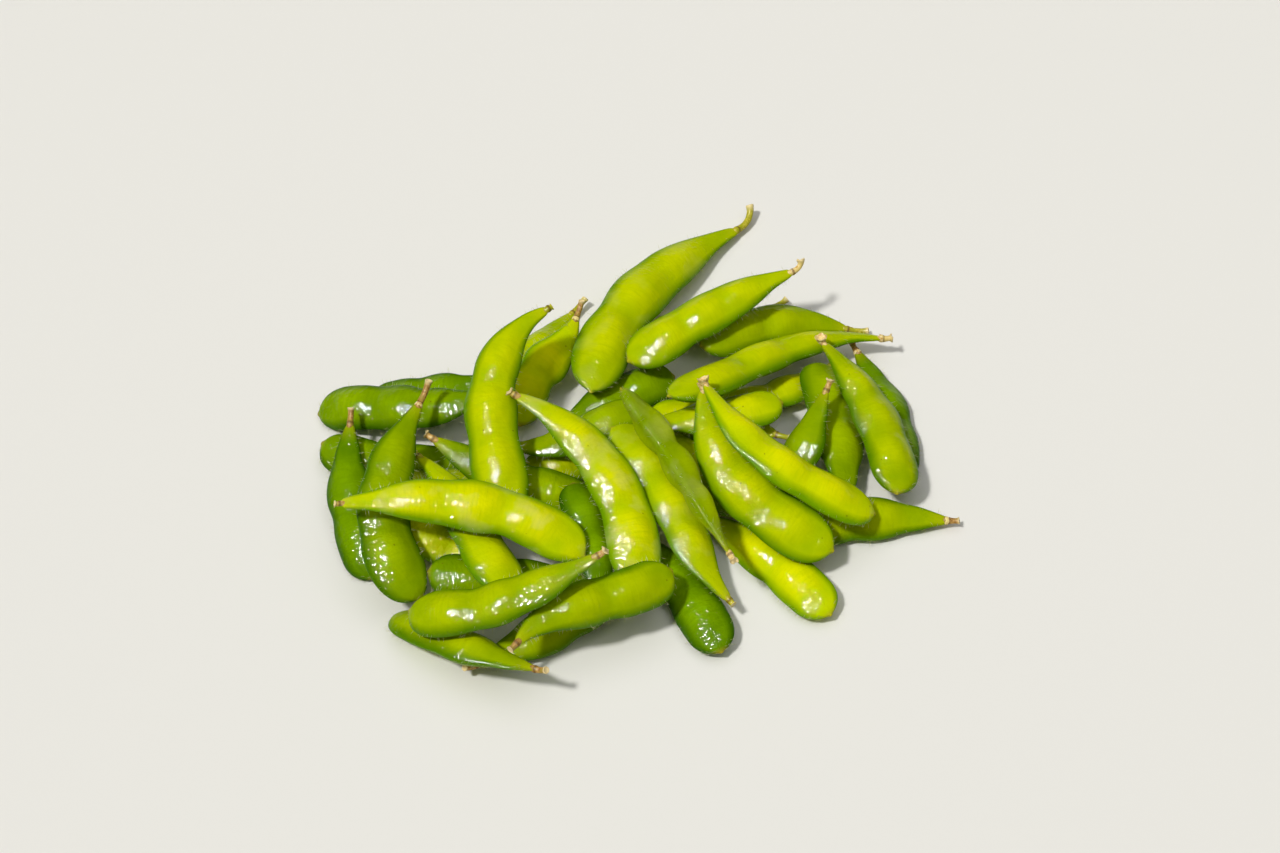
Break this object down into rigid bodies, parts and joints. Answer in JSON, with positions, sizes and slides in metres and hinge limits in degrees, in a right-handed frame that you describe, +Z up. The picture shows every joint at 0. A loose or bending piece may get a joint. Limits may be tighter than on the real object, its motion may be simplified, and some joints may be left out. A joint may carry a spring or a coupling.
{
  "type": "edamame pod bundle",
  "caption": "Low loose heap of whole boiled edamame soybean pods, each with its cut stalk, lying across one another and resting on the ground.",
  "frame": {"origin": "centre of the heap's box in X and Y, on the ground it rests on", "axes": "+X along the heap's long side, +Y across it, away from the side it is seen from, +Z up"},
  "size_m": [0.1876, 0.1446, 0.0363],
  "materials": {
    "pod_skin": "wet, glossy, finely wrinkled green pod skin"
  },
  "bodies": {
    "root": {"pod_01": "pod_skin", "pod_02": "pod_skin", "pod_03": "pod_skin", "pod_04": "pod_skin", "pod_05": "pod_skin", "pod_06": "pod_skin", "pod_07": "pod_skin", "pod_08": "pod_skin", "pod_09": "pod_skin", "pod_10": "pod_skin", "pod_11": "pod_skin", "pod_12": "pod_skin", "pod_13": "pod_skin", "pod_14": "pod_skin", "pod_15": "pod_skin", "pod_16": "pod_skin", "pod_17": "pod_skin", "pod_18": "pod_skin", "pod_19": "pod_skin", "pod_20": "pod_skin", "pod_21": "pod_skin", "pod_22": "pod_skin", "pod_23": "pod_skin", "pod_24": "pod_skin", "pod_25": "pod_skin", "pod_26": "pod_skin", "pod_27": "pod_skin", "pod_28": "pod_skin", "pod_29": "pod_skin", "pod_30": "pod_skin", "pod_31": "pod_skin", "pod_32": "pod_skin", "pod_33": "pod_skin", "pod_34": "pod_skin", "pod_35": "pod_skin", "pod_36": "pod_skin", "pod_37": "pod_skin", "pod_38": "pod_skin", "pod_39": "pod_skin", "pod_40": "pod_skin", "pod_41": "pod_skin", "pod_42": "pod_skin", "pod_43": "pod_skin"}
  },
  "joints": []
}
